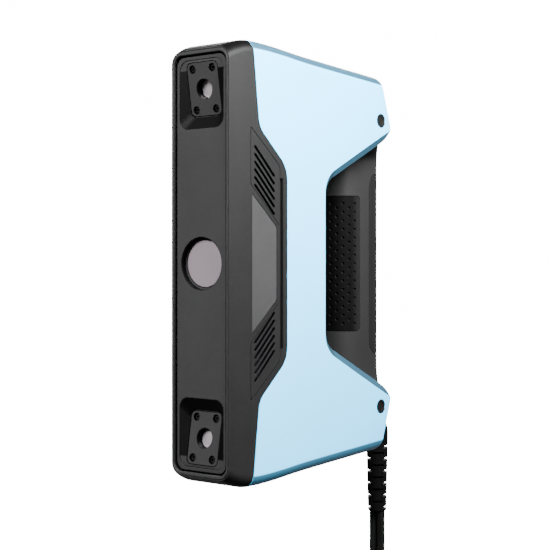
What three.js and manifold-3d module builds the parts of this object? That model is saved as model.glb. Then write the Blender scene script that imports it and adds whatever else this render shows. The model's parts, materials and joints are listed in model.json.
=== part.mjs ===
// A handheld structured-light 3-D scanner: a slim upright optical body with a
// projector between two cameras, metal side covers that reach back over two arms,
// a vertical hand grip between the arms, and two cables that hang from an elbow
// strain relief and end in a tied coil with their plugs.
//
// Frame: millimetres, +Z up, the scanner looks along -Y, origin at the middle of
// the hand grip. Inside the body everything is placed by its depth behind the
// front rim, so the body's group is moved back by GRIP_DEPTH.

import * as THREE from 'three';
import { mergeVertices } from 'three/addons/utils/BufferGeometryUtils.js';
import Module from 'manifold-3d';

const wasm = await Module();
wasm.setup();

// ---- Driving dimensions -------------------------------------------------------

const GAP = 0.3; // between pieces that touch
const GRIP_DEPTH = 144; // front rim to the grip's axis

// Half width and half height of the whole body at each depth.
const HALF_WIDTH = [[0, 21.4], [17, 25.5], [37, 28.5], [43, 29.3], [78, 31.5], [146, 34.7], [172, 35.6]];
const HALF_HEIGHT = [[0, 121.2], [6, 124.2], [17, 126.9], [135, 119], [172, 116.4]];
const EDGE_RADIUS = 7.5;
const HOUSING_WALL = 3.2;
const COVER_WALL = 2;
const COVER_LIP = { deep: 6, wide: 3.4 };
const CHASSIS_WALL = 2.5;
const SPINE_HALF = 3.1; // the black strip between the covers, along the top and the bottom

// The side view's outlines: [depth, height, corner cut].
const COVER_FRONT = [[15.5, 135, 0], [21.35, 77.1, 5], [43.35, 55, 8]];
const COVER_REAR = [[133.7, 120.4, 7], [147.1, 80.7, 9]];
const WAIST = { depth: 82.6, corner: 49.03, cut: 8, rise: 0.4907, far: 172 };
const BEVEL = { wide: 4.6, deep: 3.1 }; // the covers' bevelled edge round the hand gap
const CHASSIS_REAR = 117.7;

const BEZEL = { thick: 1.2, inset: 0.9, openX: 19.6, openZ: 118.6, radius: 5.5 };
const HOUSING_FRONT = 0.35;
const FAN = { depth: 46, low: 32, high: 42, half: 20, bore: 18.2 };
const PANEL = { depth: 1.5, thick: 2.8, halfX: 18.4, halfZ: 117.4, radius: 5 };
const LEDGE = { depth: 4.8, thick: 1.6, halfX: 17.9, halfZ: 116.8 };
const PROJECTOR = { bore: 14.8, glass: 13.4, glassDepth: 5, glassThick: 1.6, boss: 17.2 };
const CAMERA = {
  z: 99, depth: 4.25, tilt: THREE.MathUtils.degToRad(9.2),
  plateHalfX: 11.4, plateHalfZ: 15.2, plateRadius: 3.4, plateThick: 3.2,
  aperture: 5.7, window: 5.4, windowDepth: 4.4,
  mouthHalfX: 16.3, mouthLow: 76.6, mouthHigh: 115.5, mouthRadius: 6,
  screwX: 7.3, screwZ: 11.6, screwHole: 2.15, screwHead: 1.8,
  boss: 7.4, bossBack: 5.4,
};
const TUB = { halfX: 17.5, low: 74.5, high: 116.3, back: 12.5 };

const GRILLE = {
  front: 15.4, rear: 37.5, top: [76.5, 55.6], bottom: [44.9, 21.7], thick: 1.8,
  slots: 6, slotFront: 17.5, slotRear: 33.7, slotHigh: 68.15, slotFall: 17.9, slotTall: 2.3, pitch: 4.35,
};
const LABEL = { front: 16.2, rear: 34.9, frontHigh: 39, rearHigh: 20.8, thick: 1.2 };
const SIDE_SLOT = { front: 37.8, rear: 39.5, high: 49, deep: 2 };
const CAP = { depth: 134.5, z: 90.3, radius: 4.17, thick: 1.6 };

// The handle's sections: height, half width, front depth, back depth, and the
// roundness of its front and of its back (2 is an ellipse).
const HANDLE = [
  [0, 17.5, 122, 166, 2.6, 2.6], [58, 17.5, 122, 166, 2.6, 2.6], [66, 17.6, 121.9, 166, 2.6, 2.6],
  [74, 18.4, 121.4, 166.1, 3, 2.6], [81, 21.2, 120.2, 165.8, 4.5, 2.6], [87, 26, 118.8, 163.6, 8, 2.7],
  [93, 29.3, 118.1, 159.6, 12, 2.8], [100, 30.4, 118, 155.5, 12, 2.8], [114.2, 29.4, 118, 145, 12, 2.8],
];
const GRIP = { rear: 136, high: 43, thick: 1.5, cut: 3 };
const REAR_COVER = { front: 146, high: 58.5, thick: 2, cut: 11 };
const HANDLE_CAVITY = { halfX: 10.5, front: 134, high: 50 };
const BUTTONS = [
  { name: 'plus_button', z: 21, radius: 4.8 },
  { name: 'scan_button', z: 0, radius: 7 },
  { name: 'minus_button', z: -21, radius: 4.8 },
];
const BUTTON = { top: 167.2, flangeTop: 161.9, flangeBack: 160.6, flange: 1 };
const STATUS_LIGHT = { z: 37, radius: 1.6 };

const BOOT = {
  z: -107, start: 152.3, depth: 182, bend: 8, radius: 7.4, tip: 6.2, end: -167.6,
  groove: 1.8, grooveTall: 1.4, firstGroove: -115.3, pitch: 8.24, grooves: 7,
};

// The two cables, in the part's own frame.
const CABLE = { diameter: 5.5, spacing: 5.8, y: BOOT.depth - GRIP_DEPTH, bend: 25 };
const FLOOR = -253.6;
const COIL = { x: 33.9, y: -12, inner: 22.2, outer: 39.7, tall: 17.4, lowest: -252 };

// ---- Making solids ------------------------------------------------------------

const SIDE_VIEW = basis([0, 1, 0], [0, 0, 1], [1, 0, 0]); // drawn in depth and height, extruded along X
const FRONT_VIEW = basis([1, 0, 0], [0, 0, 1], [0, -1, 0]); // drawn in X and height, extruded forwards

function basis(x, y, z) {
  const [a, b, c] = [x, y, z].map((axis) => new THREE.Vector3(...axis));
  return new THREE.Matrix4().makeBasis(a, b, c);
}

/** A manifold solid from a closed three.js geometry. */
function solid(geometry) {
  const bare = geometry.clone();
  bare.deleteAttribute('normal');
  bare.deleteAttribute('uv');
  const merged = mergeVertices(bare, 1e-4);
  return new wasm.Manifold(new wasm.Mesh({
    numProp: 3,
    vertProperties: merged.attributes.position.array,
    triVerts: Uint32Array.from(merged.index.array),
  }));
}

/** A three.js geometry from a manifold solid. */
function geometryOf(manifold) {
  const mesh = manifold.getMesh();
  const geometry = new THREE.BufferGeometry();
  geometry.setAttribute('position', new THREE.BufferAttribute(mesh.vertProperties, 3));
  geometry.setIndex(new THREE.BufferAttribute(mesh.triVerts, 1));
  geometry.computeVertexNormals();
  return geometry;
}

function joined(solids) {
  return solids.reduce((whole, next) => whole.add(next));
}

/** Moves every vertex of a geometry with move(point). */
function reshape(geometry, move) {
  const place = geometry.attributes.position;
  const point = new THREE.Vector3();
  for (let i = 0; i < place.count; i += 1) {
    move(point.fromBufferAttribute(place, i));
    place.setXYZ(i, point.x, point.y, point.z);
  }
  return geometry;
}

function between(table, at, column = 1) {
  const last = table.length - 1;
  const k = Math.min(Math.max(table.findIndex((row) => row[0] > at), 1), last);
  const i = at >= table[last][0] ? last : k;
  const share = THREE.MathUtils.clamp((at - table[i - 1][0]) / (table[i][0] - table[i - 1][0]), 0, 1);
  return THREE.MathUtils.lerp(table[i - 1][column], table[i][column], share);
}

/** A closed outline through corners [x, y, cut], each corner rounded over its cut. */
function outline(corners) {
  const shape = new THREE.Shape();
  corners.forEach(([x, y, cut], i) => {
    const corner = new THREE.Vector2(x, y);
    const towards = (other) => new THREE.Vector2(other[0], other[1]).sub(corner).setLength(cut).add(corner);
    const from = cut ? towards(corners.at(i - 1)) : corner;
    if (i === 0) shape.moveTo(from.x, from.y);
    else shape.lineTo(from.x, from.y);
    if (cut) {
      const to = towards(corners[(i + 1) % corners.length]);
      shape.quadraticCurveTo(x, y, to.x, to.y);
    }
  });
  shape.closePath();
  return shape;
}

/** The corners, and the same ones mirrored below in the opposite order. */
function mirrored(corners) {
  return [...corners, ...corners.map(([x, y, cut]) => [x, -y, cut]).reverse()];
}

function roundedRectangle(halfX, halfY, radius, centreY = 0) {
  const [low, high] = [centreY - halfY, centreY + halfY];
  const shape = new THREE.Shape();
  shape.moveTo(halfX, low + radius);
  shape.absarc(halfX - radius, high - radius, radius, 0, Math.PI / 2);
  shape.absarc(radius - halfX, high - radius, radius, Math.PI / 2, Math.PI);
  shape.absarc(radius - halfX, low + radius, radius, Math.PI, 1.5 * Math.PI);
  shape.absarc(halfX - radius, low + radius, radius, 1.5 * Math.PI, 2 * Math.PI);
  return shape;
}

/** A side-view outline extruded along X, from x0 to x1. */
function sidePrism(shape, x0 = -60, x1 = 60, curveSegments = 4) {
  const geometry = new THREE.ExtrudeGeometry(shape, { depth: x1 - x0, bevelEnabled: false, curveSegments });
  return solid(geometry.applyMatrix4(SIDE_VIEW).translate(x0, 0, 0));
}

/** A front-view outline extruded along Y, from depth y0 to y1. */
function frontPrism(shape, y0, y1, curveSegments = 2) {
  const geometry = new THREE.ExtrudeGeometry(shape, { depth: y1 - y0, bevelEnabled: false, curveSegments });
  return solid(geometry.applyMatrix4(FRONT_VIEW).translate(0, y1, 0));
}

function box(x, y, z, [cx, cy, cz] = [0, 0, 0]) {
  return solid(new THREE.BoxGeometry(x, y, z).translate(cx, cy, cz));
}

/** A round bar along Y, from depth y0 to y1. */
function barY(radius, y0, y1, [x, z] = [0, 0], sides = 32, endRadius = radius) {
  const geometry = new THREE.CylinderGeometry(endRadius, radius, y1 - y0, sides);
  return solid(geometry.translate(x, (y0 + y1) / 2, z));
}

function barZ(radius, z0, z1, [x, y] = [0, 0], sides = 32) {
  return solid(new THREE.CylinderGeometry(radius, radius, z1 - z0, sides)
    .rotateX(Math.PI / 2).translate(x, y, (z0 + z1) / 2));
}

// ---- The body's outer form ----------------------------------------------------

const DEPTHS = [0, 6, 17, 30, 43, 60, 78, 100, 122, 146, 172];

/** The whole body's form, shrunk by inset, through the given depths. */
function envelope(inset, depths = DEPTHS) {
  const [nominalX, nominalZ] = [30, 120];
  const steps = depths.length - 1;
  const radius = Math.max(EDGE_RADIUS - inset, 1);
  const section = roundedRectangle(nominalX - inset, nominalZ - inset, radius);
  const extrusion = { depth: steps, steps, bevelEnabled: false, curveSegments: 2 };
  const geometry = new THREE.ExtrudeGeometry(section, extrusion);
  return solid(reshape(geometry.applyMatrix4(FRONT_VIEW), (point) => {
    point.y = depths[steps + Math.round(point.y)];
    point.x += Math.sign(point.x) * (between(HALF_WIDTH, point.y) - nominalX);
    point.z += Math.sign(point.z) * (between(HALF_HEIGHT, point.y) - nominalZ);
  }));
}

/** The hand gap as seen from the side, grown by grow on its three closed sides. */
function waist(grow) {
  const steepening = Math.hypot(1, WAIST.rise) - WAIST.rise;
  const corner = WAIST.corner + grow * steepening;
  const cut = WAIST.cut + grow * steepening;
  const far = corner + WAIST.rise * (WAIST.far - WAIST.depth + grow);
  return outline([
    [WAIST.far, far, 0], [WAIST.far, -far, 0],
    [WAIST.depth - grow, -corner, cut], [WAIST.depth - grow, corner, cut],
  ]);
}

/** What lies in front of the covers, as seen from the side. */
function coverFront(shift) {
  const edge = COVER_FRONT.map(([depth, height, cut]) => [depth + shift, height, cut]);
  return outline([[-20, 135, 0], ...mirrored(edge), [-20, -135, 0]]);
}

// ---- The front: bezel, panel, windows and cameras -------------------------------

function frontBezel() {
  const rim = envelope(BEZEL.inset + 0.4, [0, 0.3]).add(envelope(BEZEL.inset, [0.3, BEZEL.thick]));
  return rim.subtract(frontPrism(roundedRectangle(BEZEL.openX, BEZEL.openZ, BEZEL.radius), -1, 3));
}

/** The upper camera recess: from its mouth in the panel down to the tilted plate. */
function cameraRecess() {
  const mouthZ = (CAMERA.mouthLow + CAMERA.mouthHigh) / 2;
  const mouthHalfZ = (CAMERA.mouthHigh - CAMERA.mouthLow) / 2;
  const mouth = roundedRectangle(CAMERA.mouthHalfX, mouthHalfZ, CAMERA.mouthRadius);
  const floorX = CAMERA.plateHalfX + GAP;
  const floorZ = CAMERA.plateHalfZ + GAP;
  const extrusion = { depth: 1, steps: 1, bevelEnabled: false, curveSegments: 3 };
  const geometry = new THREE.ExtrudeGeometry(mouth, extrusion);
  const halfZ = (CAMERA.mouthHigh - CAMERA.mouthLow) / 2;
  const cone = reshape(geometry.applyMatrix4(FRONT_VIEW), (point) => {
    const isFloor = point.y > -0.5;
    if (isFloor) {
      point.x *= floorX / CAMERA.mouthHalfX;
      point.z = CAMERA.z + point.z * (floorZ / halfZ);
      point.y = CAMERA.depth + Math.tan(CAMERA.tilt) * (CAMERA.z - point.z);
    } else {
      point.y = PANEL.depth - 0.01;
      point.z += mouthZ;
    }
  });
  const pocket = cameraPlace(frontPrism(roundedRectangle(floorX, floorZ, CAMERA.plateRadius), -0.6, 3.5));
  const wayOut = cameraPlace(barY(8.5, 3, 30));
  return joined([solid(cone), pocket, wayOut]);
}

/** Moves a solid made around the Y axis to the upper camera's tilted axis. */
function cameraPlace(part) {
  const turn = new THREE.Matrix4().makeRotationX(CAMERA.tilt);
  turn.setPosition(0, CAMERA.depth, CAMERA.z);
  return part.transform(turn.elements);
}

function flipped(part) {
  return part.mirror([0, 0, 1]);
}

function frontPanel() {
  const plateBack = PANEL.depth + PANEL.thick;
  const plate = frontPrism(roundedRectangle(PANEL.halfX, PANEL.halfZ, PANEL.radius), PANEL.depth, plateBack);
  const tubHalf = (TUB.high - TUB.low) / 2;
  const tubOutline = roundedRectangle(TUB.halfX, tubHalf, 4, TUB.low + tubHalf);
  const tub = frontPrism(tubOutline, plateBack - 0.5, TUB.back);
  const boss = barY(PROJECTOR.boss, plateBack - 0.5, 8.6);
  const glassBack = PROJECTOR.glassDepth + PROJECTOR.glassThick + GAP;
  const bore = joined([
    barY(PROJECTOR.bore, 0, PROJECTOR.glassDepth, [0, 0], 40),
    barY(PROJECTOR.glass + GAP, PROJECTOR.glassDepth - 0.1, glassBack, [0, 0], 40),
    barY(PROJECTOR.glass - 1.2, 4, 10),
  ]);
  const recess = cameraRecess();
  return joined([plate, tub, flipped(tub), boss]).subtract(joined([bore, recess, flipped(recess)]));
}

function cameraPlate() {
  const { plateHalfX, plateHalfZ, plateRadius, plateThick, boss, bossBack, aperture } = CAMERA;
  const plate = frontPrism(roundedRectangle(plateHalfX, plateHalfZ, plateRadius), 0, plateThick)
    .add(barY(boss, plateThick - 0.2, bossBack, [0, 0], 24));
  const holes = [barY(aperture, -1, 6, [0, 0], 24)];
  screwPlaces().forEach((place) => holes.push(barY(CAMERA.screwHole, -1, 5, place, 12)));
  return cameraPlace(plate.subtract(joined(holes)));
}

function screwPlaces() {
  const { screwX: x, screwZ: z } = CAMERA;
  return [[-x, z], [x, z], [-x, -z], [x, -z]];
}

function plateScrew(place) {
  const head = barY(CAMERA.screwHead, 1, 2.6, place, 12);
  return cameraPlace(head.add(barY(1, 2.5, 3.3, place, 8)));
}

function cameraWindow() {
  return cameraPlace(barY(CAMERA.window, CAMERA.windowDepth, CAMERA.windowDepth + 0.7, [0, 0], 24));
}

function cameraLens() {
  return cameraPlace(barY(5.2, CAMERA.bossBack, 6.2, [0, 0], 20).add(barY(7.4, 6, 14.6, [0, 0], 20)));
}

function cameraBody() {
  const body = box(23, 19, 23, [0, 24.5, 0]);
  const connector = box(12, 4, 6, [0, 35.8, -4]);
  return cameraPlace(body.add(connector));
}

// ---- The front housing and what sits in its sides -------------------------------

/** The upper grille's outline in side view, grown by grow. */
function grilleOutline(grow) {
  const { front, rear, top, bottom } = GRILLE;
  const height = ([atFront, atRear], depth, side) => {
    const slope = (atFront - atRear) / (rear - front);
    return atFront - slope * (depth - front) + side * grow * Math.hypot(1, slope);
  };
  return outline([
    [front - grow, height(top, front - grow, 1), 1], [rear + grow, height(top, rear + grow, 1), 3],
    [rear + grow, height(bottom, rear + grow, -1), 1], [front - grow, height(bottom, front - grow, -1), 1],
  ]);
}

/** One slot of the upper grille, number 0 the highest. */
function ventSlot(k) {
  const { slotFront, slotRear, slotHigh, slotFall, slotTall, pitch } = GRILLE;
  const high = slotHigh - k * pitch;
  const low = high - slotFall;
  return sidePrism(outline([
    [slotFront, high, 0.8], [slotRear, low, 0.8],
    [slotRear, low - slotTall, 0.8], [slotFront, high - slotTall, 0.8],
  ]), 5, 60, 2);
}

function ventGrille() {
  const skin = envelope(0).intersect(sidePrism(grilleOutline(0), 5, 60));
  const slots = Array.from({ length: GRILLE.slots }, (_, k) => ventSlot(k));
  return skin.subtract(envelope(GRILLE.thick, [-5, ...DEPTHS.slice(1)])).subtract(joined(slots));
}

function labelOutline(grow) {
  const { front, rear, frontHigh, rearHigh } = LABEL;
  const upper = [[rear + grow, rearHigh + grow, 1.2], [front - grow, frontHigh + 1.4 * grow, 1.2]];
  return outline(mirrored(upper).reverse());
}

function labelPlate() {
  const skin = envelope(0.1).intersect(sidePrism(labelOutline(0), 5, 60));
  return skin.subtract(envelope(LABEL.thick + 0.1, [-5, ...DEPTHS.slice(1)]));
}

/** Pockets for the right-hand grilles and label plate, cut from the outside. */
function sidePockets() {
  const depths = [-5, ...DEPTHS.slice(1)];
  const grille = sidePrism(grilleOutline(GAP), 5, 60).subtract(envelope(GRILLE.thick + GAP, depths));
  const air = sidePrism(grilleOutline(-2), 5, 60);
  const label = sidePrism(labelOutline(GAP), 5, 60)
    .subtract(envelope(LABEL.thick + GAP + 0.1, depths));
  const { front, rear, high, deep } = SIDE_SLOT;
  const corners = [[front, high, 0], [rear, high, 0], [rear, -high, 0], [front, -high, 0]];
  const slot = sidePrism(outline(corners), 5, 60)
    .subtract(envelope(deep, [-5, ...DEPTHS.slice(1)]));
  return joined([grille, flipped(grille), air, flipped(air), label, slot]);
}

function frontHousing() {
  const ledgeBack = LEDGE.depth + LEDGE.thick;
  const collar = envelope(0, [HOUSING_FRONT, ledgeBack])
    .subtract(envelope(BEZEL.inset - GAP, [-1, 0, BEZEL.thick + GAP]))
    .subtract(frontPrism(roundedRectangle(BEZEL.openX, BEZEL.openZ, BEZEL.radius), -1, LEDGE.depth))
    .subtract(frontPrism(roundedRectangle(LEDGE.halfX, LEDGE.halfZ, 4), -1, 20));
  const wall = envelope(0, [ledgeBack, 17, 30, 43, 60])
    .subtract(envelope(HOUSING_WALL, [ledgeBack - 1, 17, 30, 43, 61]));
  const pockets = sidePockets();
  return collar.add(wall).intersect(sidePrism(coverFront(0)))
    .subtract(pockets.add(pockets.mirror([1, 0, 0])));
}

// ---- Covers, chassis and handle -------------------------------------------------

function coverOutline() {
  const front = COVER_FRONT.map(([depth, height, cut]) => [depth + 0.35, height, cut]);
  const { depth, corner, cut } = WAIST;
  return outline(mirrored([
    [depth, corner, cut], ...COVER_REAR.toReversed(), [front[0][0] + 0.65, 130, 0], front[1], front[2],
  ]));
}

/** What the bevel takes off the right-hand cover round the hand gap. */
function waistBevel() {
  const { wide, deep } = BEVEL;
  const beyond = 1;
  const [edge, face] = [0, wide * (1 + beyond / deep)].map((grow) => waist(grow).getPoints(4));
  const geometry = new THREE.ExtrudeGeometry(waist(0), { depth: 1, bevelEnabled: false, curveSegments: 4 });
  return solid(reshape(geometry.applyMatrix4(SIDE_VIEW), (point) => {
    const isOutside = point.x > 0.5;
    const k = edge.findIndex((spot) => Math.hypot(spot.x - point.y, spot.y - point.z) < 1e-3);
    const spot = isOutside ? face[k] : edge[k];
    point.set(between(HALF_WIDTH, spot.x) + (isOutside ? beyond : -deep), spot.x, spot.y);
  }));
}

function coverPlate() {
  const profile = sidePrism(coverOutline(), SPINE_HALF + GAP, 60);
  const plate = envelope(0).subtract(envelope(COVER_WALL, [-5, ...DEPTHS.slice(1, -1), 180]));
  const lip = envelope(0).subtract(envelope(COVER_LIP.deep, [-5, ...DEPTHS.slice(1, -1), 180]))
    .intersect(sidePrism(waist(COVER_LIP.wide), 12, 60));
  const holes = barX(CAP.radius + GAP, 20, 60, [CAP.depth, CAP.z]);
  return plate.add(lip).intersect(profile).subtract(joined([waistBevel(), holes, flipped(holes)]));
}

function barX(radius, x0, x1, [y, z]) {
  return solid(new THREE.CylinderGeometry(radius, radius, x1 - x0, 28)
    .rotateZ(-Math.PI / 2).translate((x0 + x1) / 2, y, z));
}

function coverCap() {
  const skin = barX(CAP.radius, 20, 60, [CAP.depth, CAP.z]).intersect(envelope(0.2));
  return skin.subtract(envelope(0.2 + CAP.thick));
}

/** The black strips along the top and the bottom, flush with the covers. */
function spine(inset) {
  const strip = box(2 * SPINE_HALF, 400, 400);
  return envelope(0).subtract(envelope(inset, [-5, ...DEPTHS.slice(1, -1), 180])).intersect(strip);
}

function rearHousing() {
  const outer = envelope(COVER_WALL + GAP).add(spine(3))
    .subtract(sidePrism(coverFront(0.35)))
    .subtract(sidePrism(waist(COVER_LIP.wide + GAP)))
    .subtract(box(200, 200, 400, [0, CHASSIS_REAR + 100, 0]));
  const wall = COVER_WALL + GAP + CHASSIS_WALL;
  const inside = envelope(wall, [-5, ...DEPTHS.slice(1)])
    .subtract(sidePrism(waist(COVER_LIP.wide + GAP + CHASSIS_WALL)))
    .subtract(box(200, 200, 400, [0, CHASSIS_REAR + 100 - CHASSIS_WALL, 0]));
  return outer.subtract(inside);
}

/** The handle's form, shrunk by inset. */
function handleForm(inset) {
  const upper = [58, 66, 70, 74, 77.5, 81, 84, 87, 93, 100, 107, 114.2];
  const heights = [...upper.map((height) => -height).reverse(), ...upper];
  const steps = heights.length - 1;
  const geometry = new THREE.CylinderGeometry(1, 1, steps, 28, steps).rotateX(Math.PI / 2);
  return solid(reshape(geometry, (point) => {
    const height = heights[Math.round(point.z + steps / 2)];
    const [halfWidth, front, back, roundFront, roundBack] = [1, 2, 3, 4, 5]
      .map((column) => between(HANDLE, Math.abs(height), column));
    const onAxis = Math.hypot(point.x, point.y) < 0.5;
    const middle = front + (halfWidth > 20 ? 16 : 22);
    const isFront = point.y < -1e-6;
    const power = 2 / (isFront ? roundFront : roundBack);
    const deep = isFront ? middle - front : back - middle;
    const bent = (value) => (Math.abs(value) < 1e-6 ? 0 : Math.sign(value) * Math.abs(value) ** power);
    point.x = onAxis ? 0 : (halfWidth - inset) * bent(point.x);
    point.y = onAxis ? middle : middle + (deep - inset) * bent(point.y);
    point.z = height - Math.sign(height) * inset * (Math.abs(height) > 110 ? 1 : 0);
  }));
}

function gripOutline(grow) {
  const { rear, high, cut } = GRIP;
  return outline(mirrored([[rear + grow, high + grow, cut], [90, high + grow, 0]]).reverse());
}

function rearCoverOutline(grow) {
  const { front, high, cut } = REAR_COVER;
  return outline(mirrored([[200, high + grow, 0], [front - grow, high + grow, cut]]).reverse());
}

function handleFrame() {
  const gripPocket = sidePrism(gripOutline(GAP)).subtract(handleForm(GRIP.thick + GAP));
  const coverPocket = sidePrism(rearCoverOutline(GAP)).subtract(handleForm(REAR_COVER.thick + GAP));
  const { halfX, front, high } = HANDLE_CAVITY;
  const cavity = box(2 * halfX, 200 - front, 2 * high, [0, (200 + front) / 2, 0]);
  const lips = sidePrism(waist(COVER_LIP.wide + GAP)).subtract(envelope(COVER_LIP.deep + GAP));
  const gland = barY(9.8, 141, 200, [0, BOOT.z]);
  return handleForm(0).intersect(envelope(COVER_WALL + GAP))
    .subtract(joined([gripPocket, coverPocket, cavity, lips, gland]));
}

/** The handle's share of the black strips between the covers. */
function handleSpine() {
  return spine(6).subtract(box(200, 200, 400, [0, CHASSIS_REAR + GAP - 100, 0]))
    .subtract(box(200, 200, 400, [0, 138 + 100, 0]));
}

function gripPad() {
  return handleForm(0).intersect(sidePrism(gripOutline(0))).subtract(handleForm(GRIP.thick));
}

function rearCover() {
  const skin = handleForm(0).intersect(sidePrism(rearCoverOutline(0))).subtract(handleForm(REAR_COVER.thick));
  const holes = BUTTONS.map(({ z, radius }) => barY(radius + GAP, 150, 180, [0, z]));
  holes.push(barY(STATUS_LIGHT.radius + GAP, 150, 180, [0, STATUS_LIGHT.z], 16));
  return skin.subtract(joined(holes));
}

function button({ z, radius }) {
  const { top, flangeTop, flangeBack, flange } = BUTTON;
  const crown = barY(radius, top - 0.6, top, [0, z], 32, radius - 0.5);
  const stem = barY(radius, flangeTop - 0.1, top - 0.6, [0, z]);
  return joined([crown, stem, barY(radius + flange, flangeBack, flangeTop, [0, z])]);
}

function statusLight() {
  return barY(STATUS_LIGHT.radius, 161.2, 166.1, [0, STATUS_LIGHT.z], 16);
}

function buttonBoard() {
  const board = box(19, 1.6, 92, [0, 156.8, 0]);
  const switches = BUTTONS.map(({ z }) => box(6, 2, 6, [0, 158.5, z]));
  const chip = box(9, 1.4, 9, [0, 155.4, -36]);
  return joined([board, ...switches, chip]);
}

// ---- Inside the body ------------------------------------------------------------

function opticalFrame() {
  const plate = frontPrism(roundedRectangle(18.5, 112, 5), 13, 15.4);
  const rails = [-17, 17].map((x) => box(3, 8, 130, [x, 19, 0]));
  const cameraHoles = [1, -1].map((side) => barY(10.6, 10, 20, [0, side * (CAMERA.z + 1.6)]));
  const holes = [barY(13, 10, 20), ...cameraHoles];
  [-60, 60].forEach((z) => holes.push(frontPrism(roundedRectangle(11, 16, 4, z), 10, 20)));
  return joined([plate, ...rails]).subtract(joined(holes));
}

function projectorLens() {
  return barY(9.4, 8.9, 12).add(barY(11.6, 11.9, 24));
}

function projectorBody() {
  const body = box(31, 33, 38, [0, 40.8, 0]);
  return body.add(box(20, 3, 10, [0, 25.9, 14]));
}

function heatSink() {
  const base = box(31, 3, 38, [0, 59.1, 0]);
  const fins = Array.from({ length: 7 }, (_, k) => box(1.6, 9.2, 38, [4.6 * (k - 3), 65, 0]));
  return joined([base, ...fins]);
}


function fanFrame() {
  const { depth, low, high, half, bore } = FAN;
  const frame = box(2 * half, 2 * half, high - low, [0, depth, (low + high) / 2])
    .subtract(barZ(bore, low - 1, high + 1, [0, depth]));
  const spokes = [0, 1, 2].map((k) => solid(new THREE.BoxGeometry(19, 2, 1.2).translate(9.5, 0, 0)
    .rotateZ(Math.PI / 6 + (k * 2 * Math.PI) / 3).translate(0, depth, low + 0.6)));
  return joined([frame, barZ(7.5, low, low + 1.2, [0, depth]), ...spokes]);
}

function fanRotor() {
  const { depth, low, high } = FAN;
  const blades = Array.from({ length: 7 }, (_, k) => solid(new THREE.BoxGeometry(11, 1, 6.6)
    .rotateX(0.7).translate(12, 0, 0).rotateZ((k * 2 * Math.PI) / 7)
    .translate(0, depth, (low + high) / 2 + 0.6)));
  return joined([barZ(8, low + 1.8, high - 0.6, [0, depth]), ...blades]);
}

function mainBoard() {
  const board = box(42, 1.6, 66, [0, 50, -60]);
  const chips = [[14, 2.4, 14, 0, -50], [9, 2, 9, -13, -68], [9, 2, 9, 12, -72], [16, 6, 7, 0, -86]]
    .map(([x, y, z, cx, cz]) => box(x, y, z, [cx, 49.3 - y / 2, cz]));
  return joined([board, ...chips]);
}

// ---- The strain relief, the cables and their coil -------------------------------

function cableGland() {
  return barY(9.5, 141.3, 152, [0, BOOT.z]).subtract(barY(4, 146, 160, [0, BOOT.z]));
}

/** The elbow boot: out of the gland, round the corner, and down as a grooved taper. */
function cableBoot() {
  const { z, start, depth, bend, radius, tip, end, groove, grooveTall, firstGroove, pitch, grooves } = BOOT;
  const path = new THREE.CurvePath();
  const corner = Array.from({ length: 7 }, (_, k) => {
    const angle = (k * Math.PI) / 12;
    return new THREE.Vector3(0, depth - bend + bend * Math.sin(angle), z - bend + bend * Math.cos(angle));
  });
  const line = [new THREE.Vector3(0, start, z), ...corner, new THREE.Vector3(0, depth, z - bend - 1)];
  line.slice(1).forEach((point, i) => path.add(new THREE.LineCurve3(line[i], point)));
  const section = new THREE.Shape().absarc(0, 0, radius, 0, 2 * Math.PI);
  const elbow = new THREE.ExtrudeGeometry(section, { extrudePath: path, steps: 12, curveSegments: 8 });
  const top = z - bend - 0.5;
  const radiusAt = (height) => THREE.MathUtils.mapLinear(height, top, end, radius, tip);
  const profile = [new THREE.Vector2(0, end), new THREE.Vector2(tip, end)];
  for (let k = grooves - 1; k >= 1; k -= 1) {
    const middle = firstGroove - k * pitch;
    [[-1, 0], [-1, groove], [1, groove], [1, 0]].forEach(([side, cut]) => {
      const height = middle + (side * grooveTall) / 2;
      profile.push(new THREE.Vector2(radiusAt(height) - cut, height));
    });
  }
  profile.push(new THREE.Vector2(radius, top), new THREE.Vector2(0, top));
  const taper = new THREE.LatheGeometry(profile, 16).rotateX(Math.PI / 2).translate(0, depth, 0);
  return solid(elbow).add(solid(taper));
}

/** A round cable through points, with a step about every two and a half diameters. */
function cableTube(points) {
  const places = points.map((point) => new THREE.Vector3(...point));
  const path = new THREE.CatmullRomCurve3(places, false, 'centripetal');
  const steps = Math.ceil(path.getLength() / (2 * CABLE.diameter));
  const section = new THREE.Shape().absarc(0, 0, CABLE.diameter / 2, 0, 2 * Math.PI);
  return new THREE.ExtrudeGeometry(section, { extrudePath: path, steps, curveSegments: 5 });
}

const CABLE_TOP = BOOT.end - GAP;
const USB_DROP = [
  [-2.9, 38, CABLE_TOP], [-2.9, 38, -186], [-2.9, 38, -205], [-2.9, 37.5, -224], [-2.9, 34.7, -236.6],
  [-2.9, 29.3, -243.9], [-2.9, 21.6, -248], [-2.9, 13, -249.2], [-2.9, 9.4, -249.2],
];
const POWER_DROP = [
  [2.9, 38, CABLE_TOP], [2.9, 38, -180], [2.9, 37.8, -194], [2.9, 35.2, -206], [2.9, 29.5, -214.4],
  [2.5, 22, -218.6], [1.7, 15, -219.7],
];
const USB_TAIL = [
  [-3, -34.6, -241.6], [-3.3, -42, -244.6], [-4.6, -52, -248.8],
  [-5.7, -61, -250.6], [-6, -66, -250.8], [-6, -69, -250.8],
];
const POWER_TAIL = [
  [17.6, -55.2, -233.6], [22, -63, -238], [26, -72, -244], [29.6, -81, -248.8], [32.2, -89, -250.7],
  [33, -95, -250.8], [33, -98, -250.8],
];

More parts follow.
